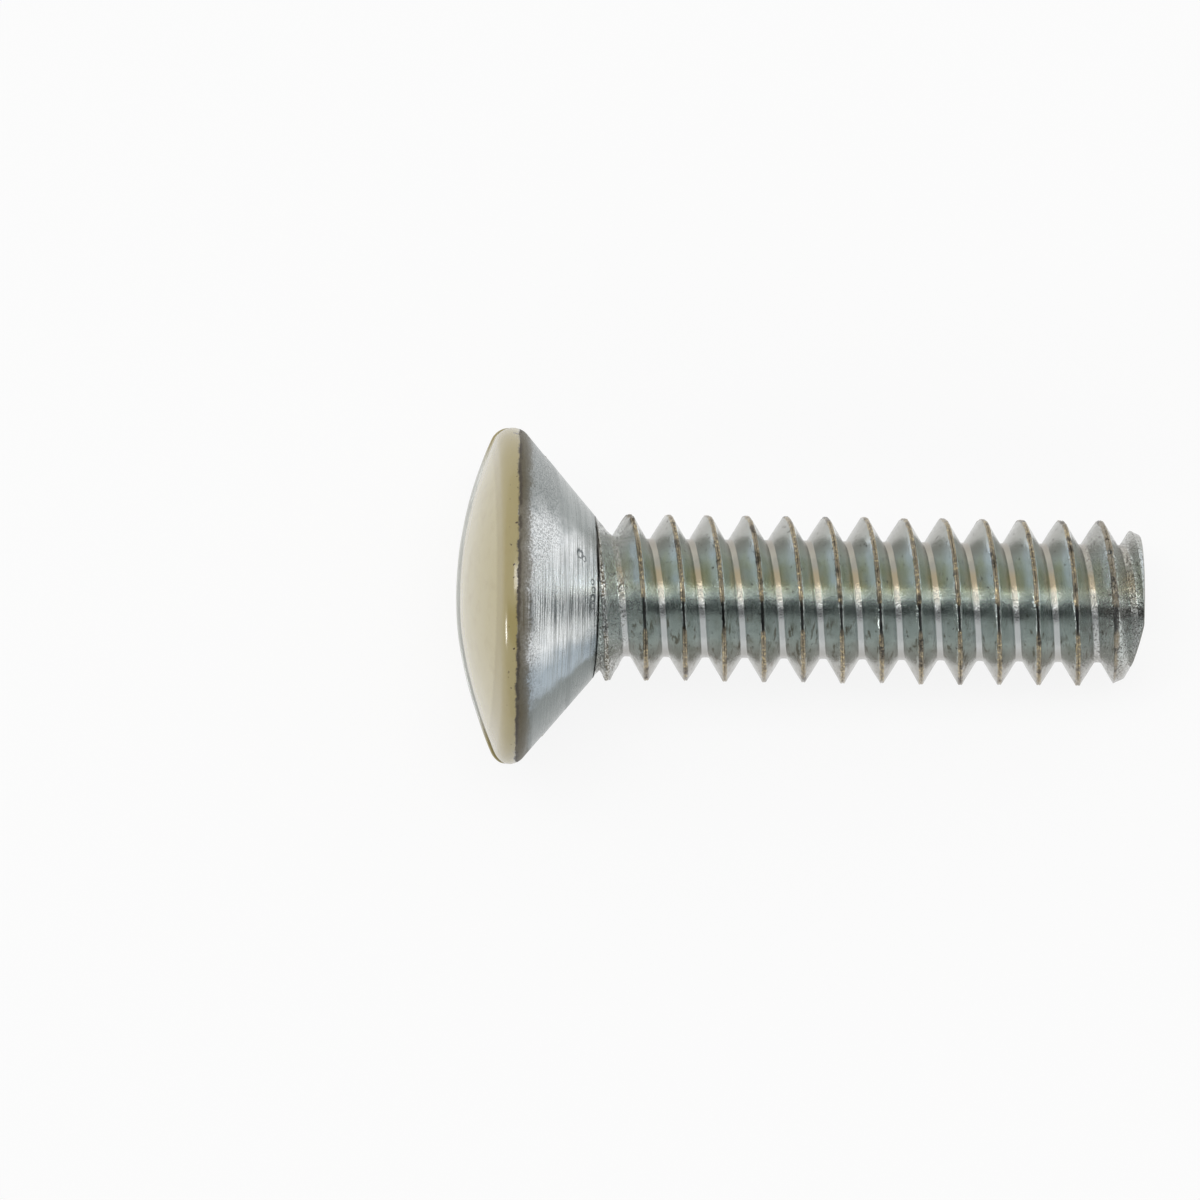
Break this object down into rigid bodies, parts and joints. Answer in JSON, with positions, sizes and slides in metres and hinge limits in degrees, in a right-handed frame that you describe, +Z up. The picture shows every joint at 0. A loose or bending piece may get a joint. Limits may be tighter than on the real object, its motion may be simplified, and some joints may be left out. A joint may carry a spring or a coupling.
{
  "type": "wall plate screw",
  "caption": "Slotted oval countersunk machine screw for a wall plate: ivory painted head on a short, fully threaded zinc-plated shank.",
  "frame": {"origin": "bottom centre of the bounding box, on the surface that the screw lies on", "axes": "+X runs from the head to the tip, level with the surface; +Z is up; +Y is across, along the driver slot. The screw's own axis lies in the XZ plane and dips 8.3 degrees towards the tip, because the head is wider than the thread"},
  "size_m": [0.014, 0.0068, 0.0068],
  "materials": {
    "plated_steel": "bright zinc plate on the cone and thread, gloss ivory enamel on the dome and edge of the head"
  },
  "bodies": {
    "root": {"screw": "plated_steel"}
  },
  "joints": []
}
